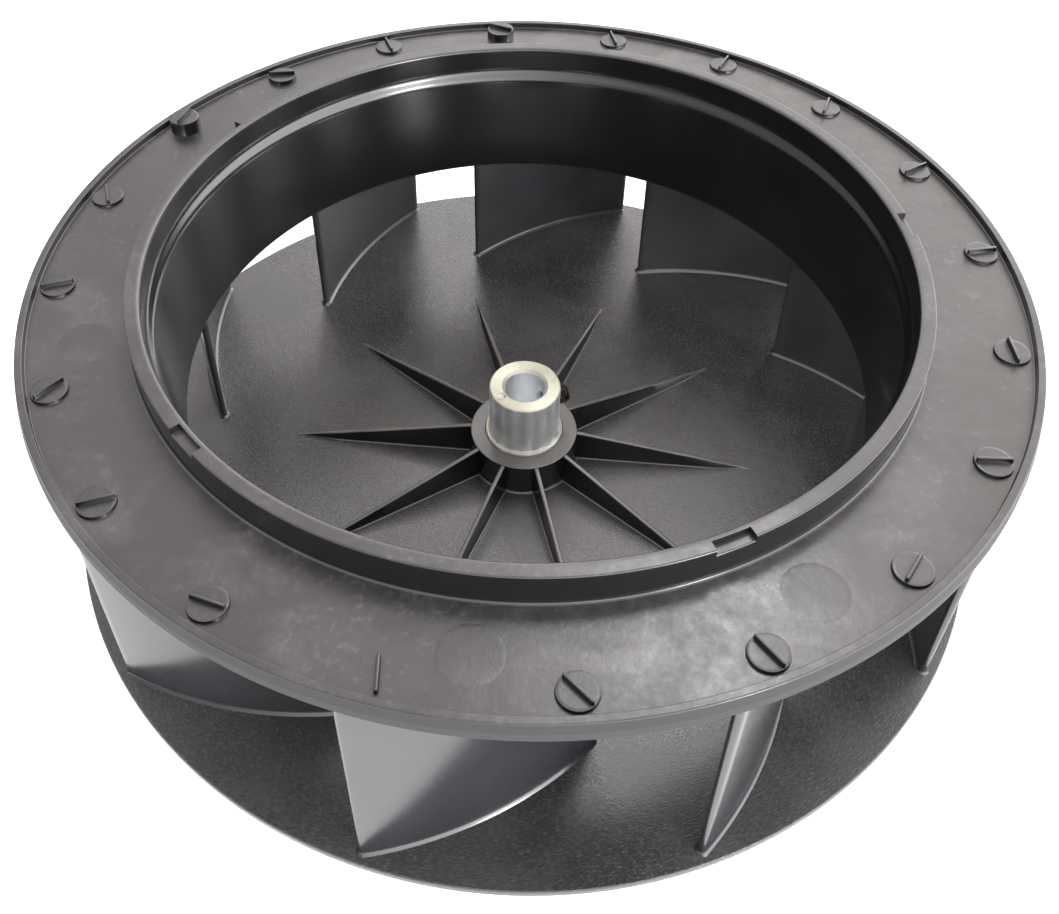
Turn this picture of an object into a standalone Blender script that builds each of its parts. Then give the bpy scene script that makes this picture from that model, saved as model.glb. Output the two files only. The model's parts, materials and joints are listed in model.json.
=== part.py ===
"""Blower motor wheel: backward-curved centrifugal impeller with a steel hub.

The wheel lies with its inlet up. The Z axis is the shaft axis and Z = 0 is the underside of the
back plate. Lengths are in metres.
"""

import math

import bmesh
import bpy
from mathutils import Matrix, Vector

MM = 0.001
GAP = 0.3 * MM
RING_STEPS = 72

# front shroud
RIM_R = 139.7 * MM
RIM_INNER_R = 137.0 * MM
RIM_SKIRT_R = 137.9 * MM
RIM_TOP_Z = 83.4 * MM
RIM_BOTTOM_Z = 77.5 * MM
RIM_BAND = 3.0 * MM
FLANGE_TOP_Z = 81.4 * MM
FLANGE_BOTTOM_Z = 79.0 * MM
COLLAR_R = 110.1 * MM
COLLAR_INNER_R = 105.7 * MM
COLLAR_TOP_Z = 90.8 * MM
THROAT_R = 104.2 * MM
THROAT_Z = 79.7 * MM
SKIRT_R = 100.9 * MM
SKIRT_TOP_R = 103.5 * MM
SKIRT_WALL = 2.7 * MM
SKIRT_BOTTOM_Z = 45.7 * MM
POCKET_COUNT = 5
POCKET_FIRST_DEG = 7.2
POCKET_WIDTH = 9.75 * MM
POCKET_DEPTH = 1.8 * MM
POCKET_WALL_R = 107.3 * MM

# balance discs on the flange
DISC_COUNT = 20
DISC_FIRST_DEG = 5.4
DISC_PITCH_R = 131.3 * MM
DISC_R = 4.7 * MM
DISC_HEIGHT = 0.9 * MM
FIN_THICKNESS = 0.9 * MM
FIN_HEIGHT = 1.5 * MM
TALL_DISCS = {5: 3.0 * MM, 8: 4.5 * MM, 7: 1.6 * MM, 14: 0.15 * MM}
FIN_TURN_DEG = (12, 33, 70, 63, 102, -22, 112, 8, 75, -70, 20, 52, 20, -18, -88, -45, -52, 56, 0, 92)

# blades
BLADE_COUNT = 10
BLADE_FIRST_DEG = 29.3
BLADE_ARC_R = 110.4 * MM
BLADE_ARC_X = 10.7 * MM
BLADE_ARC_Y = -62.1 * MM
BLADE_LEAD_R = 102.2 * MM
BLADE_TRAIL_R = 136.2 * MM
BLADE_FOOT_THICKNESS = 2.0 * MM
BLADE_TOP_THICKNESS = 3.0 * MM
BLADE_STEPS = 14
PAD_HEIGHT = 0.5 * MM
PAD_MARGIN = 0.9 * MM

# back plate
PLATE_R = 139.7 * MM
PLATE_THICKNESS = 3.0 * MM
BOSS_R = 17.2 * MM
BOSS_TOP_Z = 14.5 * MM
RIB_COUNT = 10
RIB_FIRST_DEG = -3.5
RIB_TIP_R = 75.5 * MM
RIB_THICKNESS = 1.5 * MM

# hub and set screw
HUB_R = 11.1 * MM
HUB_FOOT_R = 12.25 * MM
HUB_FOOT_TOP_Z = 15.5 * MM
HUB_TOP_Z = 34.2 * MM
HUB_BEVEL = 0.5 * MM
BORE_R = 6.35 * MM
BORE_BEVEL = 0.8 * MM
DIMPLE_R = 1.5 * MM
DIMPLE_DEPTH = 0.8 * MM
DIMPLE_DEG = 212.0
SCREW_R = 3.175 * MM
SCREW_ROOT_R = 2.75 * MM
SCREW_LENGTH = 7.9 * MM
SCREW_INNER_END = 7.0 * MM
SCREW_Z = 24.8 * MM
SCREW_DEG = 27.0
SCREW_PITCH = 0.9 * MM
SCREW_SOCKET_FLAT = 3.2 * MM
SCREW_SOCKET_DEPTH = 3.0 * MM


def clear_scene():
    for obj in list(bpy.data.objects):
        bpy.data.objects.remove(obj, do_unlink=True)


def make_material(name, colour, roughness, metallic):
    material = bpy.data.materials.new(name)
    material.use_nodes = True
    shader = material.node_tree.nodes["Principled BSDF"]
    shader.inputs["Base Color"].default_value = (*colour, 1.0)
    shader.inputs["Roughness"].default_value = roughness
    shader.inputs["Metallic"].default_value = metallic
    return material


def add_object(name, bm, material=None):
    bmesh.ops.recalc_face_normals(bm, faces=bm.faces)
    mesh = bpy.data.meshes.new(name)
    bm.to_mesh(mesh)
    bm.free()
    obj = bpy.data.objects.new(name, mesh)
    bpy.context.scene.collection.objects.link(obj)
    if material:
        mesh.materials.append(material)
    return obj


def shade_round(obj, angle=35.0):
    mesh = obj.data
    mesh.shade_smooth()
    mesh.set_sharp_from_angle(angle=math.radians(angle))


def mix(a, b, share):
    return a + (b - a) * share


def polar(radius, degrees, z=0.0):
    turn = math.radians(degrees)
    return Vector((radius * math.cos(turn), radius * math.sin(turn), z))


def spin_profile(bm, profile, steps):
    """Turns a closed outline of (radius, height) points about Z."""
    verts = [bm.verts.new((r, 0.0, z)) for r, z in profile]
    edges = [bm.edges.new((verts[i], verts[(i + 1) % len(verts)])) for i in range(len(verts))]
    bmesh.ops.spin(
        bm,
        geom=edges,
        cent=(0.0, 0.0, 0.0),
        axis=(0.0, 0.0, 1.0),
        angle=2.0 * math.pi,
        steps=steps,
        use_merge=True,
    )


def add_prism(bm, outline, z_low, z_high):
    """Adds a closed prism with the given plan outline."""
    floor = [bm.verts.new((p[0], p[1], z_low)) for p in outline]
    roof = [bm.verts.new((p[0], p[1], z_high)) for p in outline]
    bm.faces.new(floor[::-1])
    bm.faces.new(roof)
    for i in range(len(outline)):
        j = (i + 1) % len(outline)
        bm.faces.new((floor[i], floor[j], roof[j], roof[i]))


def circle_outline(centre, radius, steps):
    return [centre + polar(radius, 360.0 * i / steps) for i in range(steps)]


def box_outline(centre, degrees, length, width):
    along = polar(length / 2.0, degrees)
    across = polar(width / 2.0, degrees + 90.0)
    return [centre - along - across, centre + along - across, centre + along + across, centre - along + across]


def combine(target, tool, operation):
    tool.hide_render = True
    tool.display_type = "WIRE"
    modifier = target.modifiers.new(tool.name, "BOOLEAN")
    modifier.operation = operation
    modifier.solver = "EXACT"
    modifier.object = tool


def skirt_outer_r(z):
    """Outer radius of the inlet skirt, which widens from its lip up to the flange."""
    rise = (z - SKIRT_BOTTOM_Z) / (FLANGE_BOTTOM_Z - SKIRT_BOTTOM_Z)
    return mix(SKIRT_R, SKIRT_TOP_R, rise) + SKIRT_WALL


def collar_profile():
    bevel = 0.4 * MM
    shelf_r = skirt_outer_r(FLANGE_BOTTOM_Z)
    return [
        (SKIRT_R, SKIRT_BOTTOM_Z + bevel),
        (SKIRT_TOP_R, THROAT_Z - 3.2 * MM),
        (THROAT_R - 0.2 * MM, THROAT_Z - 0.7 * MM),
        (THROAT_R, THROAT_Z),
        (THROAT_R + 0.3 * MM, THROAT_Z + 0.8 * MM),
        (COLLAR_INNER_R - 0.5 * MM, THROAT_Z + 2.6 * MM),
        (COLLAR_INNER_R - 0.2 * MM, THROAT_Z + 3.6 * MM),
        (COLLAR_INNER_R, COLLAR_TOP_Z - 0.8 * MM),
        (COLLAR_INNER_R + 0.3 * MM, COLLAR_TOP_Z - 0.3 * MM),
        (COLLAR_INNER_R + 0.9 * MM, COLLAR_TOP_Z),
        (COLLAR_R - 0.5 * MM, COLLAR_TOP_Z),
        (COLLAR_R, COLLAR_TOP_Z - 0.5 * MM),
        (COLLAR_R, FLANGE_BOTTOM_Z),
        (shelf_r + 0.5 * MM, FLANGE_BOTTOM_Z),
        (shelf_r, FLANGE_BOTTOM_Z - 0.5 * MM),
        (skirt_outer_r(SKIRT_BOTTOM_Z + bevel), SKIRT_BOTTOM_Z + bevel),
        (SKIRT_R + SKIRT_WALL - bevel, SKIRT_BOTTOM_Z),
        (SKIRT_R + bevel, SKIRT_BOTTOM_Z),
    ]


def flange_profile():
    bevel = 0.4 * MM
    inner = COLLAR_R + GAP
    return [
        (inner, FLANGE_BOTTOM_Z),
        (inner, FLANGE_TOP_Z),
        (RIM_INNER_R, FLANGE_TOP_Z),
        (RIM_INNER_R + 0.1 * MM, RIM_TOP_Z - 0.2 * MM),
        (RIM_INNER_R + 0.4 * MM, RIM_TOP_Z),
        (RIM_R - 0.9 * MM, RIM_TOP_Z),
        (RIM_R - 0.5 * MM, RIM_TOP_Z - bevel),
        (RIM_R, RIM_TOP_Z - RIM_BAND),
        (RIM_R, RIM_BOTTOM_Z + bevel),
        (RIM_R - bevel, RIM_BOTTOM_Z),
        (RIM_SKIRT_R, RIM_BOTTOM_Z),
        (RIM_SKIRT_R, FLANGE_BOTTOM_Z),
    ]


def pocket_tool():
    bm = bmesh.new()
    depth = 6.0 * MM
    for i in range(POCKET_COUNT):
        turn = POCKET_FIRST_DEG + 360.0 / POCKET_COUNT * i
        centre = polar(POCKET_WALL_R + depth / 2.0, turn)
        outline = box_outline(centre, turn, depth, POCKET_WIDTH)
        add_prism(bm, outline, COLLAR_TOP_Z - POCKET_DEPTH, COLLAR_TOP_Z + 2.0 * MM)
    return add_object("tool_pockets", bm)


def build_collar(material):
    bm = bmesh.new()
    spin_profile(bm, collar_profile(), RING_STEPS)
    collar = add_object("inlet_collar", bm, material)
    combine(collar, pocket_tool(), "DIFFERENCE")
    shade_round(collar)


def build_flange(material):
    bm = bmesh.new()
    spin_profile(bm, flange_profile(), RING_STEPS)
    shade_round(add_object("front_flange", bm, material))


def disc_outline(steps):
    return circle_outline(Vector((0.0, 0.0, 0.0)), DISC_R, steps)


def fin_outline():
    """Plan of the fin across a disc, with its ends rounded to the disc's own edge."""
    half = FIN_THICKNESS / 2.0
    reach = math.sqrt((DISC_R - 0.2 * MM) ** 2 - half**2)
    tip = DISC_R - 0.2 * MM
    right = [Vector((reach, -half, 0.0)), Vector((tip, 0.0, 0.0)), Vector((reach, half, 0.0))]
    left = [Vector((-reach, half, 0.0)), Vector((-tip, 0.0, 0.0)), Vector((-reach, -half, 0.0))]
    return right + left


def disc_mesh(height):
    """Disc with a fin across it; one that is level with the flange keeps only its fin."""
    bm = bmesh.new()
    if height > GAP:
        add_prism(bm, disc_outline(28), GAP, height)
    else:
        add_prism(bm, fin_outline(), GAP, height + FIN_HEIGHT)
    return bm


def fin_mesh(height):
    bm = bmesh.new()
    add_prism(bm, fin_outline(), height - 0.2 * MM, height + FIN_HEIGHT)
    return bm


def build_discs(material):
    for i in range(DISC_COUNT):
        height = TALL_DISCS.get(i, DISC_HEIGHT)
        disc = add_object("balance_disc_%02d" % (i + 1), disc_mesh(height), material)
        disc.location = polar(DISC_PITCH_R, DISC_FIRST_DEG + 18.0 * i, FLANGE_TOP_Z)
        disc.rotation_euler.z = math.radians(FIN_TURN_DEG[i])
        if height > GAP:
            fin = add_object("tool_fin_%02d" % (i + 1), fin_mesh(height))
            fin.location = disc.location
            fin.rotation_euler = disc.rotation_euler
            combine(disc, fin, "UNION")
        shade_round(disc)


def arc_angle(radius, side=0.0):
    """Angle on the blade's arc, or beside it, where it crosses the given wheel radius."""
    arc = BLADE_ARC_R + side
    offset = math.hypot(BLADE_ARC_X, BLADE_ARC_Y)
    heading = math.atan2(BLADE_ARC_Y, BLADE_ARC_X)
    cosine = (radius**2 - offset**2 - arc**2) / (2.0 * arc * offset)
    return heading + math.acos(cosine)


def arc_point(angle, side):
    radius = BLADE_ARC_R + side
    return BLADE_ARC_X + radius * math.cos(angle), BLADE_ARC_Y + radius * math.sin(angle)


def blade_row(z, side):
    """Arc angles from the leading to the trailing edge; the second one clears the inlet skirt."""
    lead = arc_angle(BLADE_LEAD_R)
    trail = arc_angle(BLADE_TRAIL_R)
    step = arc_angle(skirt_outer_r(max(z, SKIRT_BOTTOM_Z)) + 1.2 * GAP, side)
    return [lead] + [mix(step, trail, i / BLADE_STEPS) for i in range(BLADE_STEPS + 1)]


def blade_side(bm, side_sign, heights):
    rows = []
    low, top = heights[0], heights[-1]
    for z in heights:
        half = mix(BLADE_FOOT_THICKNESS, BLADE_TOP_THICKNESS, (z - low) / (top - low)) / 2.0
        row = []
        for angle in blade_row(z, side_sign * half):
            x, y = arc_point(angle, side_sign * half)
            row.append(bm.verts.new((x, y, z)))
        rows.append(row)
    return rows


def blade_mesh():
    low = PLATE_THICKNESS + PAD_HEIGHT + GAP
    lip = SKIRT_BOTTOM_Z - GAP
    top = FLANGE_BOTTOM_Z - GAP
    heights = [low, (low + lip) / 2.0, lip, (lip + top) / 2.0, top]
    bm = bmesh.new()
    outer = blade_side(bm, 1.0, heights)
    inner = blade_side(bm, -1.0, heights)
    last = BLADE_STEPS + 1
    for j in range(len(heights) - 1):
        first = 0 if j < 2 else 1
        for i in range(first, last):
            bm.faces.new((outer[j][i], outer[j][i + 1], outer[j + 1][i + 1], outer[j + 1][i]))
            bm.faces.new((inner[j][i + 1], inner[j][i], inner[j + 1][i], inner[j + 1][i + 1]))
        bm.faces.new((outer[j][last], inner[j][last], inner[j + 1][last], outer[j + 1][last]))
        bm.faces.new((inner[j][first], outer[j][first], outer[j + 1][first], inner[j + 1][first]))
    for i in range(last):
        bm.faces.new((inner[0][i], inner[0][i + 1], outer[0][i + 1], outer[0][i]))
    bm.faces.new((outer[2][0], outer[2][1], inner[2][1], inner[2][0]))
    for i in range(1, last):
        bm.faces.new((outer[4][i], outer[4][i + 1], inner[4][i + 1], inner[4][i]))
    loose = [v for v in bm.verts if not v.link_faces]
    bmesh.ops.delete(bm, geom=loose, context="VERTS")
    return bm


def build_blades(material):
    first = add_object("blade_01", blade_mesh(), material)
    shade_round(first)
    place_copies(first, "blade", BLADE_COUNT, BLADE_FIRST_DEG)


def plate_profile():
    edge = 0.5 * MM
    lower_edge = 1.2 * MM
    hole = HUB_FOOT_R + GAP
    return [
        (hole, 0.0),
        (PLATE_R - lower_edge, 0.0),
        (PLATE_R, lower_edge),
        (PLATE_R, PLATE_THICKNESS - edge),
        (PLATE_R - edge, PLATE_THICKNESS),
        (hole, PLATE_THICKNESS),
    ]


def boss_profile():
    """Raised ring round the hub's foot, from which the ribs run out."""
    hole = HUB_FOOT_R + GAP
    low = PLATE_THICKNESS + GAP
    return [
        (hole, low),
        (BOSS_R, low),
        (BOSS_R, BOSS_TOP_Z - 0.3 * MM),
        (BOSS_R - 0.3 * MM, BOSS_TOP_Z),
        (hole, BOSS_TOP_Z),
    ]


def rib_mesh():
    """Triangular rib that runs down from the boss to a point on the plate."""
    root = BOSS_R + GAP
    low = PLATE_THICKNESS + GAP
    side = [(root, low), (RIB_TIP_R, low), (RIB_TIP_R, low + 0.3 * MM)]
    side += [(root + 0.6 * MM, BOSS_TOP_Z - 0.15 * MM), (root, BOSS_TOP_Z - 0.15 * MM)]
    half = RIB_THICKNESS / 2.0
    bm = bmesh.new()
    left = [bm.verts.new((r, half, z)) for r, z in side]
    right = [bm.verts.new((r, -half, z)) for r, z in side]
    bm.faces.new(left)
    bm.faces.new(right[::-1])
    for i in range(len(side)):
        j = (i + 1) % len(side)
        bm.faces.new((left[i], right[i], right[j], left[j]))
    return bm


def place_copies(mesh_object, stem, count, first_deg):
    """Turns the first object into place and adds copies of it evenly round the axis."""
    mesh_object.rotation_euler.z = math.radians(first_deg)
    for i in range(1, count):
        copy = bpy.data.objects.new("%s_%02d" % (stem, i + 1), mesh_object.data)
        copy.rotation_euler.z = math.radians(first_deg + 360.0 / count * i)
        bpy.context.scene.collection.objects.link(copy)


def build_ribs(material):
    first = add_object("rib_01", rib_mesh(), material)
    place_copies(first, "rib", RIB_COUNT, RIB_FIRST_DEG)


def pad_outline(turn):
    half = BLADE_FOOT_THICKNESS / 2.0 + PAD_MARGIN
    lead = arc_angle(BLADE_LEAD_R - PAD_MARGIN)
    trail = arc_angle(BLADE_TRAIL_R + PAD_MARGIN)
    angles = [mix(lead, trail, i / BLADE_STEPS) for i in range(BLADE_STEPS + 1)]
    points = [arc_point(a, half) for a in angles] + [arc_point(a, -half) for a in reversed(angles)]
    spin = Matrix.Rotation(math.radians(turn), 3, "Z")
    return [spin @ Vector((x, y, 0.0)) for x, y in points]


def pad_tool():
    bm = bmesh.new()
    for i in range(BLADE_COUNT):
        outline = pad_outline(BLADE_FIRST_DEG + 36.0 * i)
        add_prism(bm, outline, PLATE_THICKNESS - 0.7 * MM, PLATE_THICKNESS + PAD_HEIGHT)
    return add_object("tool_pads", bm)


def build_plate(material):
    bm = bmesh.new()
    spin_profile(bm, plate_profile(), RING_STEPS)
    plate = add_object("back_plate", bm, material)
    combine(plate, pad_tool(), "UNION")
    shade_round(plate)


def build_boss(material):
    bm = bmesh.new()
    spin_profile(bm, boss_profile(), RING_STEPS)
    shade_round(add_object("plate_boss", bm, material))


def hub_profile():
    return [
        (BORE_R, HUB_BEVEL),
        (BORE_R + HUB_BEVEL, 0.0),
        (HUB_FOOT_R - HUB_BEVEL, 0.0),
        (HUB_FOOT_R, HUB_BEVEL),
        (HUB_FOOT_R, HUB_FOOT_TOP_Z - 0.3 * MM),
        (HUB_FOOT_R - 0.3 * MM, HUB_FOOT_TOP_Z),
        (HUB_R + 0.6 * MM, HUB_FOOT_TOP_Z + 0.1 * MM),
        (HUB_R, HUB_FOOT_TOP_Z + 0.8 * MM),
        (HUB_R, HUB_TOP_Z - HUB_BEVEL),
        (HUB_R - HUB_BEVEL, HUB_TOP_Z),
        (BORE_R + BORE_BEVEL, HUB_TOP_Z),
        (BORE_R, HUB_TOP_Z - BORE_BEVEL),
    ]


def radial_frame():
    """Places a Z-aligned shape so that its axis runs outwards along the set screw's axis."""
    turn = Matrix.Rotation(math.radians(SCREW_DEG), 4, "Z")
    return Matrix.Translation((0.0, 0.0, SCREW_Z)) @ turn @ Matrix.Rotation(math.radians(90.0), 4, "Y")


def build_hub(material):
    bm = bmesh.new()
    spin_profile(bm, hub_profile(), 48)
    hub = add_object("hub", bm, material)
    bm = bmesh.new()
    hole = circle_outline(Vector((0.0, 0.0, 0.0)), SCREW_R + 0.06 * MM, 32)
    add_prism(bm, hole, BORE_R - 4.0 * MM, HUB_R + 4.0 * MM)
    bm.transform(radial_frame())
    combine(hub, add_object("tool_screw_hole", bm), "DIFFERENCE")
    bm = bmesh.new()
    centre = polar((HUB_R + BORE_R) / 2.0, DIMPLE_DEG)
    add_prism(bm, circle_outline(centre, DIMPLE_R, 20), HUB_TOP_Z - DIMPLE_DEPTH, HUB_TOP_Z + 1.0 * MM)
    combine(hub, add_object("tool_dimple", bm), "DIFFERENCE")
    shade_round(hub)


def screw_profile():
    """Half outline of the set screw along its own axis, with thread ridges."""
    start = SCREW_INNER_END
    end = SCREW_INNER_END + SCREW_LENGTH
    points = [(0.0, start), (SCREW_ROOT_R - 0.5 * MM, start), (SCREW_ROOT_R, start + 0.5 * MM)]
    ridge = start + 0.9 * MM
    while ridge < end - 0.8 * MM:
        points.append((SCREW_R, ridge))
        points.append((SCREW_ROOT_R, ridge + SCREW_PITCH / 2.0))
        ridge += SCREW_PITCH
    points += [(SCREW_ROOT_R - 0.25 * MM, end), (0.0, end)]
    return points


def build_screw(material):
    bm = bmesh.new()
    verts = [bm.verts.new((r, 0.0, z)) for r, z in screw_profile()]
    edges = [bm.edges.new((verts[i], verts[i + 1])) for i in range(len(verts) - 1)]
    centre = (0.0, 0.0, 0.0)
    axis = (0.0, 0.0, 1.0)
    bmesh.ops.spin(bm, geom=edges, cent=centre, axis=axis, angle=2.0 * math.pi, steps=24, use_merge=True)
    bmesh.ops.remove_doubles(bm, verts=bm.verts, dist=1e-7)
    shift = Matrix.Translation((0.0, 0.0, -SCREW_INNER_END))
    bm.transform(shift)
    screw = add_object("set_screw", bm, material)
    screw.matrix_world = radial_frame() @ Matrix.Translation((0.0, 0.0, SCREW_INNER_END))
    bm = bmesh.new()
    hexagon = circle_outline(Vector((0.0, 0.0, 0.0)), SCREW_SOCKET_FLAT / math.sqrt(3.0), 6)
    add_prism(bm, hexagon, SCREW_LENGTH - SCREW_SOCKET_DEPTH, SCREW_LENGTH + 1.0 * MM)
    socket = add_object("tool_socket", bm)
    socket.matrix_world = screw.matrix_world
    combine(screw, socket, "DIFFERENCE")
    shade_round(screw, 30.0)


def main():
    clear_scene()
    shroud_black = make_material("shroud_black_plastic", (0.045, 0.043, 0.042), 0.38, 0.0)
    blade_black = make_material("blade_black_plastic", (0.022, 0.021, 0.024), 0.34, 0.0)
    plate_black = make_material("plate_black_plastic", (0.036, 0.034, 0.034), 0.42, 0.0)
    zinc = make_material("hub_zinc_plated_steel", (0.62, 0.63, 0.55), 0.28, 1.0)
    oxide = make_material("screw_black_oxide", (0.05, 0.042, 0.04), 0.35, 0.9)
    build_plate(plate_black)
    build_boss(plate_black)
    build_ribs(plate_black)
    build_collar(shroud_black)
    build_flange(shroud_black)
    build_discs(shroud_black)
    build_blades(blade_black)
    build_hub(zinc)
    build_screw(oxide)


main()
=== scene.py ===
import json
import math

import bmesh
import bpy
from mathutils import Matrix, Quaternion, Vector


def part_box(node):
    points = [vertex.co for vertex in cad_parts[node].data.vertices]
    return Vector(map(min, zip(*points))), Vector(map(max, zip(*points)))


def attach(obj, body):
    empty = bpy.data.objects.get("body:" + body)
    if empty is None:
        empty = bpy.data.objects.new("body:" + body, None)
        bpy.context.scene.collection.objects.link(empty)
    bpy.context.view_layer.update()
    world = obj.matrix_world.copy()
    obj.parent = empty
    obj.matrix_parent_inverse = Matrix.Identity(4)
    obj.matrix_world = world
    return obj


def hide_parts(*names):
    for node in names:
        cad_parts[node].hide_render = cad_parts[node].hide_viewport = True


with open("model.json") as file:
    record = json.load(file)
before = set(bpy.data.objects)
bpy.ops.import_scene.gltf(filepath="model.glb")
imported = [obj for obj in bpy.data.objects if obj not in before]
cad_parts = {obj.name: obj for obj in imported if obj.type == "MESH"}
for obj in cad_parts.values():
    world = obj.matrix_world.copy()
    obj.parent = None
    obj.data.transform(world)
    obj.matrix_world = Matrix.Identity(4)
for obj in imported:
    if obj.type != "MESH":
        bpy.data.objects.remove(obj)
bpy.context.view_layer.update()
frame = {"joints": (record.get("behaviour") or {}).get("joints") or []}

MM = 0.001
RIM_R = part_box("front_flange")[1].x / MM
RIM_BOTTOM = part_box("front_flange")[0].z / MM
RIM_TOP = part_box("front_flange")[1].z / MM
COLLAR_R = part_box("inlet_collar")[1].x / MM
COLLAR_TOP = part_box("inlet_collar")[1].z / MM
LIP_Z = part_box("inlet_collar")[0].z / MM
PLATE_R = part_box("back_plate")[1].x / MM
BOSS_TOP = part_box("plate_boss")[1].z / MM
HUB_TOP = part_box("hub")[1].z / MM
HUB_FOOT_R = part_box("hub")[1].x / MM
FLANGE_TOP = RIM_TOP - 2.0
FLANGE_LOW = RIM_TOP - 4.4
PLATE_TOP = 3.0


# ---------------------------------------------------------------- meshes


def new_object(name, bm, material, sharp=32.0, weighted=False):
    bmesh.ops.recalc_face_normals(bm, faces=bm.faces)
    mesh = bpy.data.meshes.new(name)
    bm.to_mesh(mesh)
    bm.free()
    mesh.shade_smooth()
    mesh.set_sharp_from_angle(angle=math.radians(sharp))
    obj = bpy.data.objects.new(name, mesh)
    bpy.context.scene.collection.objects.link(obj)
    if material:
        mesh.materials.append(material)
    if weighted:
        modifier = obj.modifiers.new("even_normals", "WEIGHTED_NORMAL")
        modifier.keep_sharp = True
    return obj


def polar(radius, degrees, z=0.0):
    turn = math.radians(degrees)
    return Vector((radius * math.cos(turn), radius * math.sin(turn), z))


def circle(radius, z, count):
    return [polar(radius, 360.0 * i / count, z) for i in range(count)]


def scaled(ring):
    return [point * MM for point in ring]


def fillet(corners, steps=5, longest=None):
    """Rounds a closed outline of (r, z, radius) corners and splits its long runs."""
    points = []
    count = len(corners)
    for i in range(count):
        here = Vector(corners[i][:2])
        before = (Vector(corners[i - 1][:2]) - here).normalized()
        after = (Vector(corners[(i + 1) % count][:2]) - here).normalized()
        radius = corners[i][2]
        bend = before.angle(after)
        if radius <= 0.0 or bend > math.radians(178.0):
            points.append(here)
            continue
        reach = radius / math.tan(bend / 2.0)
        start = here + before * reach
        end = here + after * reach
        for k in range(steps + 1):
            s = k / steps
            low = start.lerp(here, s)
            high = here.lerp(end, s)
            points.append(low.lerp(high, s))
    if not longest:
        return points
    split = []
    for i, point in enumerate(points):
        other = points[(i + 1) % len(points)]
        parts = max(1, math.ceil((other - point).length / longest))
        split += [point.lerp(other, k / parts) for k in range(parts)]
    return split


def lathe(name, columns, material, sharp=32.0):
    """Closed ring through (degrees, outline) columns, every outline with the same number of points."""
    bm = bmesh.new()
    grid = []
    for degrees, outline in columns:
        turn = math.radians(degrees)
        cos_t, sin_t = math.cos(turn), math.sin(turn)
        grid.append([bm.verts.new((p[0] * cos_t * MM, p[0] * sin_t * MM, p[1] * MM)) for p in outline])
    for i in range(len(grid)):
        a, b = grid[i], grid[(i + 1) % len(grid)]
        for j in range(len(a)):
            k = (j + 1) % len(a)
            bm.faces.new((a[j], b[j], b[k], a[k]))
    return new_object(name, bm, material, sharp, weighted=True)


def turned(name, outline, steps, material, sharp=32.0):
    return lathe(name, [(360.0 * i / steps, outline) for i in range(steps)], material, sharp)


def cut(target, tool):
    """Take the tool's volume out of the target's own mesh, then remove the tool."""
    modifier = target.modifiers.new(tool.name, "BOOLEAN")
    modifier.operation = "DIFFERENCE"
    modifier.solver = "EXACT"
    modifier.object = tool
    bpy.context.view_layer.update()
    graph = bpy.context.evaluated_depsgraph_get()
    result = bpy.data.meshes.new_from_object(target.evaluated_get(graph))
    target.modifiers.clear()
    target.data = result
    bpy.data.objects.remove(tool, do_unlink=True)


def loft(bm, rings):
    """Capped skin through closed rings of points, each with the same number of points."""
    rows = [[bm.verts.new(p) for p in ring] for ring in rings]
    for a, b in zip(rows, rows[1:]):
        for j in range(len(a)):
            k = (j + 1) % len(a)
            bm.faces.new((a[j], a[k], b[k], b[j]))
    bm.faces.new(rows[0][::-1])
    bm.faces.new(rows[-1])


# ---------------------------------------------------------------- materials


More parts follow.
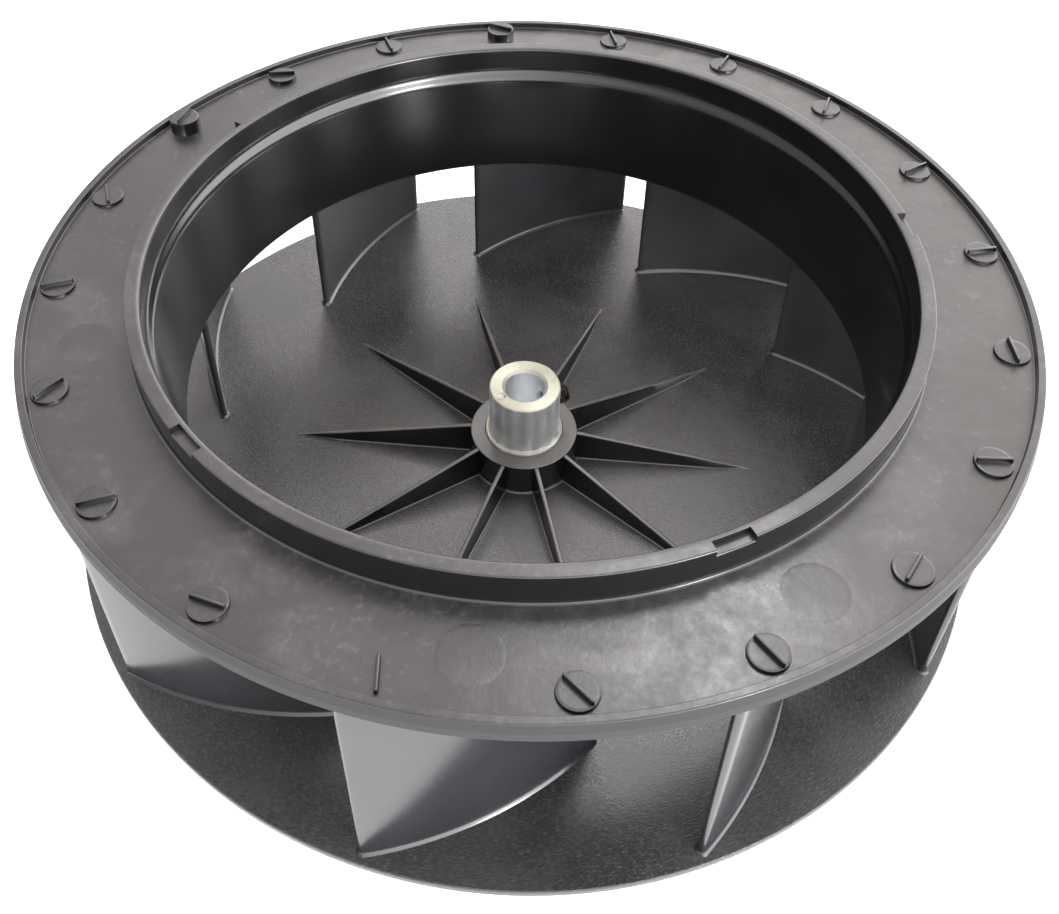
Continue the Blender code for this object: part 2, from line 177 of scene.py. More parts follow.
class Nodes:
    """Short way to write a node tree: each method but put adds nodes and gives the last one's output."""

    def __init__(self, tree, coordinates):
        self.tree = tree
        coords = tree.nodes.new("ShaderNodeTexCoord")
        self.position = coords.outputs[coordinates]

    def put(self, socket, value):
        if isinstance(value, bpy.types.NodeSocket):
            self.tree.links.new(value, socket)
        else:
            socket.default_value = value

    def noise(self, scale, detail=4.0, roughness=0.5, vector=None, distortion=0.0):
        node = self.tree.nodes.new("ShaderNodeTexNoise")
        node.inputs["Scale"].default_value = scale
        node.inputs["Detail"].default_value = detail
        node.inputs["Roughness"].default_value = roughness
        node.inputs["Distortion"].default_value = distortion
        self.put(node.inputs["Vector"], vector or self.position)
        return node.outputs["Fac"]

    def math(self, operation, a, b=0.0):
        node = self.tree.nodes.new("ShaderNodeMath")
        node.operation = operation
        self.put(node.inputs[0], a)
        self.put(node.inputs[1], b)
        return node.outputs[0]

    def span(self, value, low, high, to_low=0.0, to_high=1.0):
        node = self.tree.nodes.new("ShaderNodeMapRange")
        node.interpolation_type = "SMOOTHSTEP"
        self.put(node.inputs["Value"], value)
        node.inputs["From Min"].default_value = low
        node.inputs["From Max"].default_value = high
        node.inputs["To Min"].default_value = to_low
        node.inputs["To Max"].default_value = to_high
        return node.outputs["Result"]

    def blend(self, share, a, b):
        node = self.tree.nodes.new("ShaderNodeMix")
        node.data_type = "RGBA"
        self.put(node.inputs["Factor"], share)
        self.put(node.inputs["A"], a if isinstance(a, bpy.types.NodeSocket) else (*a, 1.0))
        self.put(node.inputs["B"], b if isinstance(b, bpy.types.NodeSocket) else (*b, 1.0))
        return node.outputs["Result"]

    def split(self, vector=None):
        node = self.tree.nodes.new("ShaderNodeSeparateXYZ")
        self.put(node.inputs[0], vector or self.position)
        return node.outputs[0], node.outputs[1], node.outputs[2]

    def join(self, x, y, z):
        node = self.tree.nodes.new("ShaderNodeCombineXYZ")
        for socket, value in zip(node.inputs, (x, y, z)):
            self.put(socket, value)
        return node.outputs[0]

    def facing_up(self):
        coords = self.tree.nodes.new("ShaderNodeTexCoord")
        return self.split(coords.outputs["Normal"])[2]

    def radius(self):
        x, y = self.split()[:2]
        square = self.math("ADD", self.math("MULTIPLY", x, x), self.math("MULTIPLY", y, y))
        return self.math("SQRT", square)

    def turn(self):
        x, y = self.split()[:2]
        return self.math("ARCTAN2", y, x)

    def bump(self, height, distance, strength=1.0, before=None):
        node = self.tree.nodes.new("ShaderNodeBump")
        self.put(node.inputs["Strength"], strength)
        node.inputs["Distance"].default_value = distance
        self.put(node.inputs["Height"], height)
        if before:
            self.put(node.inputs["Normal"], before)
        return node.outputs["Normal"]


class Graph(Nodes):
    """The node tree of one material, laid out in the piece's own coordinates."""

    def __init__(self, name):
        self.material = bpy.data.materials.new(name)
        self.material.use_nodes = True
        super().__init__(self.material.node_tree, "Object")
        self.shader = self.tree.nodes["Principled BSDF"]

    def finish(self, colour, roughness, normal=None, metallic=0.0, specular=0.5):
        self.put(self.shader.inputs["Base Color"], colour)
        self.put(self.shader.inputs["Roughness"], roughness)
        self.shader.inputs["Metallic"].default_value = metallic
        self.put(self.shader.inputs["Specular IOR Level"], specular)
        if normal:
            self.put(self.shader.inputs["Normal"], normal)
        return self.material


def shroud_plastic():
    """Glass-filled black plastic: chalky flow marks where it faces up; its walls are painted deep black as
    painted shade and its up-facing faces are painted lighter.
    """
    g = Graph("shroud_plastic")
    wide = g.noise(11.0, 3.0, 0.5)
    cloud = g.noise(38.0, 7.0, 0.68, distortion=0.5)
    fleck = g.noise(420.0, 5.0, 0.7)
    grain = g.noise(1700.0, 2.0, 0.6)
    up_faces_painted_light = g.span(g.facing_up(), 0.55, 0.95)
    chalk = g.math("MULTIPLY", g.span(cloud, 0.40, 0.66), up_faces_painted_light)
    fine = g.math("MULTIPLY", g.span(fleck, 0.50, 0.72), chalk)
    # painted shade: walls get a near-black tone and faces that look up a lighter one, though both are the
    # same plastic
    tone = g.blend(up_faces_painted_light, (0.0042, 0.0041, 0.0050), (0.011, 0.0102, 0.0102))
    tone = g.blend(g.math("MULTIPLY", chalk, g.span(wide, 0.35, 0.62)), tone, (0.040, 0.0385, 0.040))
    colour = g.blend(g.math("MULTIPLY", fine, 0.6), tone, (0.095, 0.091, 0.092))
    upright = g.span(g.facing_up(), 0.15, 0.4, 1.0, 0.0)
    rim_wall = g.math("MULTIPLY", g.span(g.radius(), (RIM_R - 2.9) * MM, (RIM_R - 1.7) * MM), upright)
    colour = g.blend(g.math("MULTIPLY", rim_wall, 0.8), colour, (0.045, 0.044, 0.046))
    sheen = g.math("MULTIPLY", chalk, g.span(wide, 0.3, 0.7, 0.12, -0.07))
    rough = g.math("ADD", g.span(up_faces_painted_light, 0.0, 1.0, 0.19, 0.34), sheen)
    rough = g.math("ADD", rough, g.math("MULTIPLY", rim_wall, 0.45))
    rough = g.math("ADD", rough, g.math("MULTIPLY", g.span(fleck, 0.3, 0.7, -0.03, 0.05), up_faces_painted_light))
    normal = g.bump(g.noise(75.0, 3.0), 0.0006, g.span(up_faces_painted_light, 0.0, 1.0, 0.10, 0.24))
    normal = g.bump(cloud, 0.0002, g.span(up_faces_painted_light, 0.0, 1.0, 0.03, 0.28), normal)
    normal = g.bump(fleck, 0.00012, g.span(up_faces_painted_light, 0.0, 1.0, 0.03, 0.5), normal)
    normal = g.bump(grain, 0.00003, 0.3, normal)
    return g.finish(colour, rough, normal, specular=g.span(rim_wall, 0.0, 1.0, 0.9, 0.3))


def blade_plastic():
    """Smoother plastic with faint upright streaks."""
    g = Graph("blade_plastic")
    cloud = g.noise(30.0, 3.0, 0.5)
    grain = g.noise(1600.0, 2.0, 0.5)
    x, y, z = g.split()
    streak = g.noise(110.0, 3.0, 0.5, g.join(x, y, g.math("MULTIPLY", z, 0.10)))
    tone = g.blend(g.span(cloud, 0.3, 0.75), (0.014, 0.0138, 0.017), (0.026, 0.0252, 0.0295))
    colour = g.blend(g.span(streak, 0.55, 0.78, 0.0, 0.4), tone, (0.038, 0.037, 0.042))
    rough = g.math("ADD", g.span(cloud, 0.3, 0.7, 0.17, 0.23), g.span(grain, 0.3, 0.7, -0.02, 0.02))
    normal = g.bump(streak, 0.0001, 0.12)
    normal = g.bump(grain, 0.00002, 0.25, normal)
    return g.finish(colour, rough, normal, specular=0.9)


def plate_plastic():
    """Back plate: short swirling strokes left in the mould, with a satin sheen."""
    g = Graph("plate_plastic")
    r = g.radius()
    a = g.turn()
    z = g.split()[2]
    swirl = g.join(
        g.math("ADD", g.math("MULTIPLY", r, 2300.0), g.math("MULTIPLY", a, 18.0)),
        g.math("MULTIPLY", a, 82.0),
        g.math("MULTIPLY", z, 300.0),
    )
    strokes = g.noise(1.0, 4.0, 0.65, swirl)
    cloud = g.noise(24.0, 5.0, 0.6)
    grain = g.noise(1300.0, 3.0, 0.6)
    tone = g.blend(g.span(cloud, 0.3, 0.7), (0.013, 0.0125, 0.013), (0.026, 0.0248, 0.0255))
    # painted light: the plate is painted paler towards its outer edge, standing in for the light that
    # reaches it from outside the shroud
    outer_light_mask = g.span(r, 0.085, 0.125)
    outer_painted_light = g.blend(g.span(cloud, 0.3, 0.7), (0.020, 0.0193, 0.021), (0.037, 0.036, 0.038))
    tone = g.blend(outer_light_mask, tone, outer_painted_light)
    spread = g.math("MULTIPLY", g.span(strokes, 0.50, 0.72, 0.0, 0.8), g.span(r, 0.02, 0.06, 0.4, 1.0))
    colour = g.blend(spread, tone, (0.080, 0.077, 0.080))
    rough = g.math("ADD", g.span(cloud, 0.3, 0.7, 0.20, 0.32), g.span(strokes, 0.3, 0.7, -0.06, 0.08))
    normal = g.bump(g.noise(45.0, 3.0), 0.0008, 0.2)
    normal = g.bump(strokes, 0.00018, g.span(r, 0.02, 0.06, 0.3, 0.65), normal)
    normal = g.bump(grain, 0.00005, 0.4, normal)
    return g.finish(colour, rough, normal, specular=0.9)


def rib_plastic():
    """The same plastic off a polished part of the mould: smoother, with its sides painted darker as painted
    shade and its up-facing edges painted light as a painted highlight.
    """
    g = Graph("rib_plastic")
    cloud = g.noise(60.0, 4.0, 0.55)
    grain = g.noise(1500.0, 2.0, 0.6)
    up_faces_painted_light = g.span(g.facing_up(), 0.45, 0.9)
    # painted shade on the sides and a painted highlight on the faces that look up
    side = g.blend(g.span(cloud, 0.3, 0.7), (0.0035, 0.0035, 0.0042), (0.0065, 0.0064, 0.0072))
    painted_highlight_tone = g.blend(g.span(cloud, 0.35, 0.7), (0.055, 0.052, 0.049), (0.095, 0.090, 0.085))
    colour = g.blend(up_faces_painted_light, side, painted_highlight_tone)
    rough = g.math("ADD", g.span(up_faces_painted_light, 0.0, 1.0, 0.24, 0.36), g.span(grain, 0.3, 0.7, -0.03, 0.03))
    normal = g.bump(cloud, 0.0001, 0.2)
    normal = g.bump(grain, 0.00003, 0.35, normal)
    return g.finish(colour, rough, normal, specular=0.9)


def zinc_steel():
    """Turned and zinc-plated: fine tool rings, a faint yellow passivation on the faces that look up, which
    are also painted much darker than the sides as painted shade.
    """
    g = Graph("zinc_steel")
    r = g.radius()
    z = g.split()[2]
    tool_path = g.join(g.math("MULTIPLY", r, 2200.0), 0.0, g.math("MULTIPLY", z, 1500.0))
    rings = g.noise(3.0, 3.0, 0.6, tool_path)
    stain = g.noise(190.0, 4.0, 0.6)
    speck = g.noise(1500.0, 2.0, 0.6)
    up_faces_painted_light = g.span(g.facing_up(), 0.3, 0.9)
    # painted shade: faces that look up are painted much darker than the sides to offset the bright sky they
    # reflect; their yellow tint is the passivation
    side = g.blend(g.span(stain, 0.3, 0.7), (0.78, 0.81, 0.83), (0.88, 0.90, 0.90))
    top = g.blend(g.span(stain, 0.3, 0.7), (0.33, 0.335, 0.27), (0.44, 0.44, 0.37))
    colour = g.blend(g.span(speck, 0.64, 0.78, 0.0, 0.3), g.blend(up_faces_painted_light, side, top), (0.33, 0.34, 0.31))
    rough = g.math("ADD", g.span(stain, 0.3, 0.7, 0.34, 0.42), g.span(rings, 0.3, 0.7, -0.05, 0.06))
    normal = g.bump(rings, 0.00012, 0.6)
    tangent = g.tree.nodes.new("ShaderNodeTangent")
    tangent.direction_type = "RADIAL"
    tangent.axis = "Z"
    g.put(g.shader.inputs["Tangent"], tangent.outputs[0])
    g.shader.inputs["Anisotropic"].default_value = 0.75
    g.shader.inputs["Anisotropic Rotation"].default_value = 0.25
    return g.finish(colour, rough, normal, metallic=1.0)


def oxide_steel():
    """Black oxide, rubbed through to brown and bare metal in specks."""
    g = Graph("oxide_steel")
    stain = g.noise(700.0, 4.0, 0.6)
    speck = g.noise(3000.0, 3.0, 0.6)
    tone = g.blend(g.span(stain, 0.35, 0.65), (0.030, 0.021, 0.018), (0.12, 0.088, 0.075))
    colour = g.blend(g.span(speck, 0.6, 0.8), tone, (0.34, 0.29, 0.26))
    rough = g.span(stain, 0.3, 0.7, 0.20, 0.38)
    normal = g.bump(speck, 0.00002, 0.4)
    return g.finish(colour, rough, normal, metallic=0.9)


SHROUD = shroud_plastic()
BLADE = blade_plastic()
PLATE = plate_plastic()
RIB = rib_plastic()
ZINC = zinc_steel()
OXIDE = oxide_steel()


# ---------------------------------------------------------------- inlet shroud

SKIRT_R = 100.9
SKIRT_TOP_R = 103.5
SKIRT_WALL = 2.7
THROAT_R = 105.7
RIM_WALL = 1.8
POCKETS = 5
POCKET_PITCH = 360.0 / POCKETS
POCKET_FIRST = 7.2
POCKET_HALF = 2.62
POCKET_EDGE = 0.02
POCKET_DEPTH = 1.8
POCKET_WALL_R = 107.35
SHROUD_COLUMNS = 480


def skirt_outer(z):
    rise = (z - LIP_Z) / (FLANGE_LOW - LIP_Z)
    return SKIRT_R + (SKIRT_TOP_R - SKIRT_R) * rise + SKIRT_WALL


def shroud_outline():
    """Cross-section of the shroud, from the skirt's lip round the collar to the outer rim."""
    return fillet(
        [
            (skirt_outer(LIP_Z), LIP_Z, 0.7),
            (SKIRT_R, LIP_Z, 0.8),
            (SKIRT_TOP_R, 75.6, 8.0),
            (103.9, 79.6, 5.0),
            (THROAT_R, 82.6, 4.6),
            (THROAT_R + 0.05, COLLAR_TOP, 1.2),
            (POCKET_WALL_R - 0.03, COLLAR_TOP, 0.0),
            (POCKET_WALL_R + 0.03, COLLAR_TOP, 0.0),
            (COLLAR_R, COLLAR_TOP, 0.55),
            (COLLAR_R, FLANGE_TOP, 0.9),
            (RIM_R - 2.7, FLANGE_TOP, 0.35),
            (RIM_R - 2.55, RIM_TOP, 0.3),
            (RIM_R - 0.55, RIM_TOP, 0.45),
            (RIM_R - 0.02, RIM_TOP - 3.0, 0.25),
            (RIM_R - 0.02, RIM_BOTTOM, 0.5),
            (RIM_R - RIM_WALL, RIM_BOTTOM, 0.4),
            (RIM_R - RIM_WALL, FLANGE_LOW, 0.5),
            (skirt_outer(FLANGE_LOW), FLANGE_LOW, 1.6),
        ],
        5,
        7.0,
    )


def build_shroud():
    """One turned skin whose columns drop between the sides of each pocket in the collar's top."""
    plain = shroud_outline()
    low = []
    for r, z in plain:
        sunk = r > POCKET_WALL_R and z > COLLAR_TOP - 0.9
        low.append(Vector((r, z - POCKET_DEPTH if sunk else z)))
    columns = []
    for i in range(SHROUD_COLUMNS):
        degrees = 360.0 * i / SHROUD_COLUMNS
        offset = (degrees - POCKET_FIRST + POCKET_PITCH / 2.0) % POCKET_PITCH - POCKET_PITCH / 2.0
        if abs(abs(offset) - POCKET_HALF) > 0.3:
            columns.append((degrees, low if abs(offset) < POCKET_HALF else plain))
    for k in range(POCKETS):
        centre = POCKET_FIRST + POCKET_PITCH * k
        for side in (-1.0, 1.0):
            wall = centre + side * POCKET_HALF
            columns.append(((wall + side * POCKET_EDGE) % 360.0, plain))
            columns.append(((wall - side * POCKET_EDGE) % 360.0, low))
    columns.sort(key=lambda c: c[0])
    shroud = lathe("shroud_body", columns, SHROUD)
    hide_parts("inlet_collar", "front_flange")
    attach(shroud, "wheel")


DISCS = 20
DISC_CENTRE_R = 131.3
DISC_FIRST = 5.4
DISC_R = 4.7
DISC_HEIGHT = 0.9
FIN_HALF = 0.44
FIN_RISE = 1.4
DISC_HEIGHTS = {5: 3.0, 8: 4.5, 7: 1.6, 14: 0.06}
LEVEL_WITH_FLANGE = 0.4
FIN_TURN = (12, 33, 70, 63, 102, -22, 112, 8, 75, -70, 20, 52, 20, -18, -88, -45, -52, 56, 0, 92)


def disc_rings(height):
    """Rings of one balance disc from its sunk base to the middle of its top."""
    shape = [(DISC_R + 0.12, -0.2), (DISC_R + 0.10, 0.02), (DISC_R + 0.02, 0.12)]
    shape.append((DISC_R - 0.03, height - 0.16))
    shape += [(DISC_R - 0.07, height - 0.05), (DISC_R - 0.18, height), (DISC_R - 0.9, height)]
    return [scaled(circle(r, z, 56)) for r, z in shape]


def fin_rings(height):
    """Rings of the fin that crosses a disc, drafted and rounded along its top."""
    top = height + FIN_RISE
    levels = [(0.16, height - 0.3), (0.10, height + 0.06), (0.0, height + 0.25)]
    levels += [(-0.05, top - 0.22), (-0.13, top - 0.06), (-0.27, top)]
    rings = []
    for grow, z in levels:
        half = FIN_HALF + grow
        reach = DISC_R - 0.25 + grow
        ring = []
        for side in (1.0, -1.0):
            for k in range(7):
                swing = math.radians(-90.0 + 180.0 * k / 6.0)
                x = side * (reach - half + half * math.cos(swing))
                y = side * half * math.sin(swing)
                ring.append(Vector((x * MM, y * MM, z * MM)))
        rings.append(ring)
    return rings


def build_discs():
    for i in range(DISCS):
        height = DISC_HEIGHTS.get(i, DISC_HEIGHT)
        bm = bmesh.new()
        if height > LEVEL_WITH_FLANGE:
            loft(bm, disc_rings(height))
        loft(bm, fin_rings(height))
        disc = new_object("disc_mark_%02d" % (i + 1), bm, SHROUD, 40.0)
        disc.location = polar(DISC_CENTRE_R * MM, DISC_FIRST + 360.0 * i / DISCS, FLANGE_TOP * MM)
        disc.rotation_euler.z = math.radians(FIN_TURN[i])
        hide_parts("balance_disc_%02d" % (i + 1))
        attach(disc, "wheel")


EJECTOR_MARKS = ((-9.9, -122.9, 7.2), (64.4, -104.9, 7.4), (-116.5, -34.0, 7.2))


def build_ejector_marks():
    """Faint raised rounds left on the flange by the mould's ejector pins."""
    for i, (x, y, radius) in enumerate(EJECTOR_MARKS):
        rings = [(radius + 0.5, -0.2), (radius + 0.3, 0.0)]
        rings += [(radius - 0.1, 0.030), (radius - 0.9, 0.036)]
        bm = bmesh.new()
        loft(bm, [scaled(circle(r, z, 72)) for r, z in rings])
        mark = new_object("ejector_mark_%02d" % (i + 1), bm, SHROUD, 40.0)
        mark.location = (x * MM, y * MM, FLANGE_TOP * MM)
        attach(mark, "wheel")


# ---------------------------------------------------------------- blades

ARC_R = 110.4
ARC_X = 10.7
ARC_Y = -62.1
LEAD_R = 102.2
TRAIL_R = 136.2
BLADES = 10
BLADE_FIRST = 29.3
ARC_STEPS = 40
END_STEPS = 6


def arc_angle(radius, side=0.0):
    """Where the blade's arc, offset to one side, meets a circle about the wheel's axis."""
    arc = ARC_R + side
    offset = math.hypot(ARC_X, ARC_Y)
    cosine = (radius**2 - offset**2 - arc**2) / (2.0 * arc * offset)
    return math.atan2(ARC_Y, ARC_X) + math.acos(cosine)


def arc_point(angle, side, z):
    radius = ARC_R + side
    x = ARC_X + radius * math.cos(angle)
    y = ARC_Y + radius * math.sin(angle)
    return Vector((x * MM, y * MM, z * MM))


def blade_ring(z, half):
    """Plan outline of a blade at one height; beside the skirt its leading end follows the skirt."""
    skirted = z > LIP_Z + 0.5
    lead_r = skirt_outer(min(z, FLANGE_LOW)) - SKIRT_WALL / 2.0 if skirted else LEAD_R
    starts = [arc_angle(lead_r, side * half if skirted else 0.0) for side in (1.0, -1.0)]
    end = arc_angle(TRAIL_R)
    bow = half / ARC_R
    ring = []
    for k in range(ARC_STEPS + 1):
        ring.append(arc_point(starts[0] + (end - starts[0]) * k / ARC_STEPS, half, z))
    for k in range(1, END_STEPS):
        swing = math.pi * k / END_STEPS
        ring.append(arc_point(end - bow * 0.7 * math.sin(swing), half * math.cos(swing), z))
    for k in range(ARC_STEPS, -1, -1):
        ring.append(arc_point(starts[1] + (end - starts[1]) * k / ARC_STEPS, -half, z))
    for k in range(1, END_STEPS):
        swing = math.pi * k / END_STEPS
        start = starts[1] + (starts[0] - starts[1]) * k / END_STEPS
        round_off = 0.0 if skirted else bow * math.sin(swing)
        ring.append(arc_point(start + round_off, -half * math.cos(swing), z))
    return ring


def blade_rings():
    """Blade outlines from the plate to the flange, thicker where they meet either."""
    low = PLATE_TOP - 0.4
    top = FLANGE_LOW + 0.6
    heights = [low, PLATE_TOP + 0.5, PLATE_TOP + 0.8, PLATE_TOP + 1.1, PLATE_TOP + 1.8]
    heights += [PLATE_TOP + 1.8 + (LIP_Z + 0.3 - PLATE_TOP - 1.8) * k / 6.0 for k in range(1, 7)]
    heights += [LIP_Z + 0.8 + (FLANGE_LOW - 1.6 - LIP_Z - 0.8) * k / 5.0 for k in range(6)]
    heights += [FLANGE_LOW - 0.7, FLANGE_LOW - 0.1, top]
    rings = []
    for z in heights:
        half = 1.0 + 0.5 * (z - low) / (top - low)
        half += max(0.0, 1.0 - (z - PLATE_TOP - 0.5) / 0.9) ** 2 * 0.35
        half += max(0.0, 1.0 - (FLANGE_LOW - z) / 1.5) ** 2 * 0.6
        rings.append(blade_ring(z, half))
    return rings


def build_blades():
    for i in range(BLADES):
        bm = bmesh.new()
        loft(bm, blade_rings())
        bm.transform(Matrix.Rotation(math.radians(BLADE_FIRST + 360.0 * i / BLADES), 4, "Z"))
        blade = new_object("blade_skin_%02d" % (i + 1), bm, BLADE, 40.0)
        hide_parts("blade_%02d" % (i + 1))
        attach(blade, "wheel")


# ---------------------------------------------------------------- back plate

SEAT_R = HUB_FOOT_R - 0.3
BOSS_R = 17.2
RIBS = 10
RIB_STEPS = 24
RIB_FIRST = -3.5
RIB_START = BOSS_R - 1.0
RIB_TIP = 75.5


def build_plate():
    outline = fillet(
        [
            (SEAT_R, 0.0, 0.0),
            (PLATE_R, 0.0, 1.3),
            (PLATE_R, PLATE_TOP, 0.5),
            (SEAT_R, PLATE_TOP, 0.0),
        ],
        5,
        6.0,
    )
    plate = turned("plate_body", outline, 360, PLATE)
    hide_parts("back_plate")
    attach(plate, "wheel")


def build_boss():
    outline = fillet(
        [
            (SEAT_R, PLATE_TOP - 0.4, 0.0),
            (BOSS_R + 0.75, PLATE_TOP - 0.4, 0.0),
            (BOSS_R + 0.7, PLATE_TOP + 0.02, 0.0),
            (BOSS_R, PLATE_TOP + 0.5, 0.7),
            (BOSS_R - 0.1, BOSS_TOP, 0.45),
            (HUB_FOOT_R + 0.25, BOSS_TOP, 0.3),
            (SEAT_R, BOSS_TOP - 0.5, 0.0),
        ],
        5,
    )
    boss = turned("boss_body", outline, 160, RIB)
    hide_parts("plate_boss")
    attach(boss, "wheel")


def rib_rings():
    """Cross-sections of a rib from inside the boss to its tip."""
    rings = []
    base = PLATE_TOP - 0.3
    high = BOSS_TOP - 0.2
    drop = PLATE_TOP + 0.05 - high
    for k in range(RIB_STEPS + 1):
        r = RIB_START + (RIB_TIP - RIB_START) * k / RIB_STEPS
        top = high + drop * max(0.0, (r - BOSS_R) / (RIB_TIP - BOSS_R))
        rise = max(top - PLATE_TOP, 0.02)
        wide = 0.35 + 0.65 * min(1.0, rise / 3.0)
        half = [
            (1.50, base),
            (1.45, PLATE_TOP + 0.10),
            (1.32, PLATE_TOP + min(0.22, rise * 0.3)),
            (1.02, PLATE_TOP + min(0.25, rise * 0.35)),
            (0.92, PLATE_TOP + min(0.55, rise * 0.5)),
            (0.66, PLATE_TOP + rise - min(0.25, rise * 0.3)),
            (0.5, PLATE_TOP + rise - min(0.07, rise * 0.1)),
            (0.28, PLATE_TOP + rise),
        ]
        right = [Vector((r * MM, w * wide * MM, z * MM)) for w, z in half]
        left = [Vector((r * MM, -w * wide * MM, z * MM)) for w, z in reversed(half)]
        rings.append(right + left)
    return rings


def build_ribs():
    for i in range(RIBS):
        bm = bmesh.new()
        loft(bm, rib_rings())
        bm.transform(Matrix.Rotation(math.radians(RIB_FIRST + 360.0 * i / RIBS), 4, "Z"))
        rib = new_object("plate_rib_%02d" % (i + 1), bm, RIB, 38.0)
        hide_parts("rib_%02d" % (i + 1))
        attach(rib, "wheel")


# ---------------------------------------------------------------- hub and set screw

HUB_R = 11.1
BORE_R = 6.35
FOOT_TOP = BOSS_TOP + 1.0
SCREW = frame["joints"][0]
SCREW_AXIS = Vector(SCREW["axis"]).normalized()
SCREW_TURN = math.degrees(math.atan2(SCREW_AXIS.y, SCREW_AXIS.x))
SCREW_Z = (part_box("set_screw")[0].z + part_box("set_screw")[1].z) / 2.0 / MM
SCREW_START = 7.0
SCREW_LENGTH = 7.9
SCREW_R = 3.175
SCREW_PITCH = 0.907
SCREW_SIDES = 48
THREAD_DEPTH = 0.5
THREAD_STEPS = 9
SOCKET_HALF = 1.6
SOCKET_DEPTH = 3.0
DIMPLE_CENTRE_R = 8.75
DIMPLE_AT = 212.0


def radial_frame():
    """Stands the Z axis of a part on the set screw's axis, pointing away from the shaft."""
    turn = Matrix.Rotation(math.radians(SCREW_TURN), 4, "Z")
    return Matrix.Translation((0.0, 0.0, SCREW_Z * MM)) @ turn @ Matrix.Rotation(math.radians(90.0), 4, "Y")


def screw_hole():
    """Tool for the radial hole, opening into a countersink at the hub's side."""
    bm = bmesh.new()
    rings = [(SCREW_R + 0.05, 2.0), (SCREW_R + 0.05, HUB_R - 0.55), (SCREW_R + 1.6, HUB_R + 1.0)]
    loft(bm, [scaled(circle(r, z, SCREW_SIDES)) for r, z in rings])
    bm.transform(radial_frame())
    return new_object("screw_hole_tool", bm, None)


def dimple():
    """Tool for the small round dent in the hub's top face."""
    bm = bmesh.new()
    centre = polar(DIMPLE_CENTRE_R, DIMPLE_AT, HUB_TOP)
    rings = [(0.5, -0.85), (1.1, -0.7), (1.4, -0.35), (1.62, 0.4)]
    loft(bm, [scaled([centre + point for point in circle(r, z, 24)]) for r, z in rings])
    return new_object("dimple_tool", bm, None)


def build_hub():
    outline = fillet(
        [
            (BORE_R, 0.0, 0.4),
            (HUB_FOOT_R - 0.02, 0.0, 0.4),
            (HUB_FOOT_R - 0.02, FOOT_TOP, 0.35),
            (HUB_R, FOOT_TOP, 0.7),
            (HUB_R, HUB_TOP, 0.6),
            (BORE_R + 0.85, HUB_TOP, 0.2),
            (BORE_R, HUB_TOP - 0.85, 0.2),
        ],
        5,
        3.0,
    )
    hub = turned("hub_body", outline, 128, ZINC, 28.0)
    cut(hub, screw_hole())
    cut(hub, dimple())
    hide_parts("hub")
    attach(hub, "wheel")


def thread_ring(z):
    """One ring of the helical thread, run out towards both ends of the screw."""
    taper = min(1.0, z / 0.9, (SCREW_LENGTH - z) / 0.7)
    ring = []
    for k in range(SCREW_SIDES):
        phase = (z / SCREW_PITCH - k / SCREW_SIDES) % 1.0
        crest = min(1.0, max(0.0, 1.45 * (1.0 - abs(2.0 * phase - 1.0)) - 0.1))
        radius = SCREW_R - THREAD_DEPTH + THREAD_DEPTH * crest * taper - 0.25 * (1.0 - taper)
        ring.append(polar(radius, 360.0 * k / SCREW_SIDES, z))
    return ring


def socket_ring(half, z):
    """Hexagon of the given half width across flats."""
    ring = []
    for k in range(SCREW_SIDES):
        degrees = 360.0 * k / SCREW_SIDES
        swing = degrees % 60.0 - 30.0
        ring.append(polar(half / math.cos(math.radians(swing)), degrees, z))
    return ring


def screw_rings():
    """Rings along the set screw: cup point, helical thread, chamfer and hexagon socket."""
    cup = [(0.3, 0.9), (1.2, 0.55), (1.75, 0.0), (2.1, 0.05)]
    rings = [circle(r, z, SCREW_SIDES) for r, z in cup]
    steps = int(SCREW_LENGTH / SCREW_PITCH * THREAD_STEPS)
    for i in range(steps + 1):
        rings.append(thread_ring(0.25 + (SCREW_LENGTH - 0.45) * i / steps))
    rings.append(circle(2.35, SCREW_LENGTH, SCREW_SIDES))
    rings.append(socket_ring(SOCKET_HALF, SCREW_LENGTH))
    for depth in (0.12, SOCKET_DEPTH):
        rings.append(socket_ring(SOCKET_HALF * 0.97, SCREW_LENGTH - depth))
    rings.append(circle(0.4, SCREW_LENGTH - SOCKET_DEPTH - 0.4, SCREW_SIDES))
    return [scaled(ring) for ring in rings]


def build_screw():
    bm = bmesh.new()
    loft(bm, screw_rings())
    bm.transform(radial_frame() @ Matrix.Translation((0.0, 0.0, SCREW_START * MM)))
    screw = new_object("screw_body", bm, OXIDE, 50.0)
    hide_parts("set_screw")
    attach(screw, "screw")


# ---------------------------------------------------------------- stage

SKY_LEFT = 1.65
SKY_RIGHT = 2.75
SKY_OVER = 0.7
SKY_LOW_LEFT = 0.4
SKY_LOW_RIGHT = 1.9
FLOOR_HALF = 4.0
FLOOR_Z = -0.0006
FLOOR_GLOW = 0.8
CAMERA_AT = (0.0, -0.25522, 0.30092)
CAMERA_AIM = (-0.00726, 0.0, 0.06599)
CAMERA_ROLL = 0.0074
CAMERA_LENS = 40.27
CAMERA_SHIFT = (0.0257, -0.1392)
# name: place, point it faces, size, power
LAMPS = {
    "soft_key": ((0.13, 0.19, 0.60), (0.036, -0.122, 0.081), (0.10, 0.14), 0.65),
    "back_lamp": ((-0.10, 0.69, 0.63), (-0.033, 0.049, 0.003), (0.12, 0.12), 0.5),
    "front_lamp": ((0.95, -1.15, 0.62), (-0.03, 0.09, 0.08), (0.26, 0.26), 9.0),
}


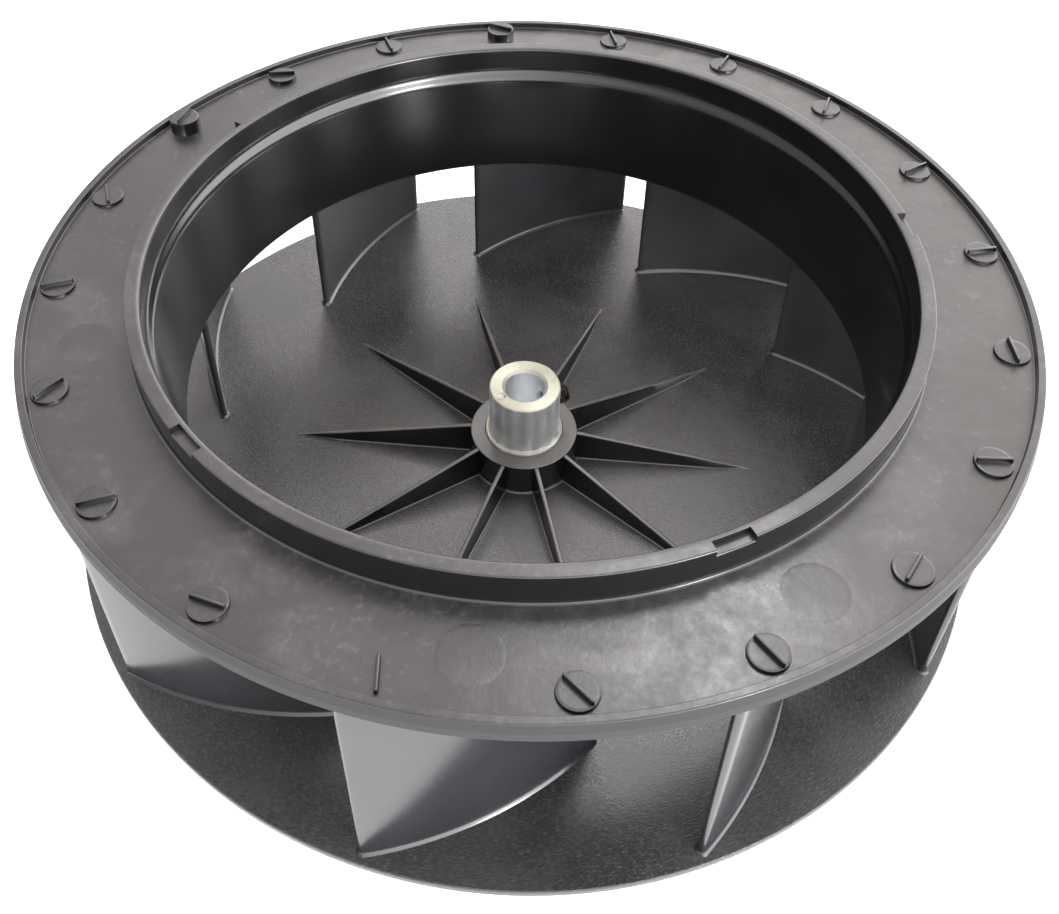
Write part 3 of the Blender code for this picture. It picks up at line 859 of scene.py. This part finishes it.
def build_sky():
    """Soft studio tent: brighter to the right, most of all low down, and dimmer overhead."""
    world = bpy.data.worlds.new("studio")
    bpy.context.scene.world = world
    world.use_nodes = True
    g = Nodes(world.node_tree, "Generated")
    background = g.tree.nodes["Background"]
    x = g.split()[0]
    z = g.split()[2]
    tint = g.blend(g.span(z, 0.05, 0.5), (0.94, 0.95, 1.0), (1.0, 0.955, 0.93))
    g.put(background.inputs["Color"], tint)
    side = g.span(x, -0.7, 0.6, SKY_LEFT, SKY_RIGHT)
    over = g.span(z, 0.55, 0.95, 1.0, SKY_OVER)
    low = g.math("SUBTRACT", g.span(x, -0.6, 0.6, SKY_LOW_LEFT, SKY_LOW_RIGHT), 1.0)
    low = g.math("ADD", g.math("MULTIPLY", low, g.span(z, 0.35, 0.6, 1.0, 0.0)), 1.0)
    g.put(background.inputs["Strength"], g.math("MULTIPLY", side, g.math("MULTIPLY", over, low)))


def build_floor():
    g = Graph("floor_pale")
    g.finish((0.86, 0.86, 0.86, 1.0), 0.9, specular=0.2)
    g.shader.inputs["Emission Color"].default_value = (0.96, 0.97, 1.0, 1.0)
    g.shader.inputs["Emission Strength"].default_value = FLOOR_GLOW
    bm = bmesh.new()
    bmesh.ops.create_grid(bm, x_segments=1, y_segments=1, size=FLOOR_HALF)
    floor = new_object("floor", bm, g.material)
    floor.location.z = FLOOR_Z


def build_camera():
    scene = bpy.context.scene
    camera_data = bpy.data.cameras.new("camera")
    camera_data.sensor_width = 36.0
    camera_data.lens = CAMERA_LENS
    camera_data.shift_x, camera_data.shift_y = CAMERA_SHIFT
    camera_data.clip_start = 0.01
    camera = bpy.data.objects.new("camera", camera_data)
    scene.collection.objects.link(camera)
    camera.location = CAMERA_AT
    aim = Vector(CAMERA_AIM) - camera.location
    camera.rotation_mode = "QUATERNION"
    roll = Quaternion((0.0, 0.0, 1.0), CAMERA_ROLL)
    camera.rotation_quaternion = aim.to_track_quat("-Z", "Y") @ roll
    scene.camera = camera
    scene.view_settings.view_transform = "Standard"


def build_lamps():
    for name, (place, target, size, power) in LAMPS.items():
        light = bpy.data.lights.new(name, "AREA")
        light.shape = "RECTANGLE"
        light.size, light.size_y = size
        light.energy = power
        lamp = bpy.data.objects.new(name, light)
        bpy.context.scene.collection.objects.link(lamp)
        lamp.location = place
        aim = Vector(target) - Vector(place)
        lamp.rotation_euler = aim.to_track_quat("-Z", "Y").to_euler()


build_shroud()
build_discs()
build_ejector_marks()
build_blades()
build_plate()
build_boss()
build_ribs()
build_hub()
build_screw()
build_floor()
build_sky()
build_camera()
build_lamps()
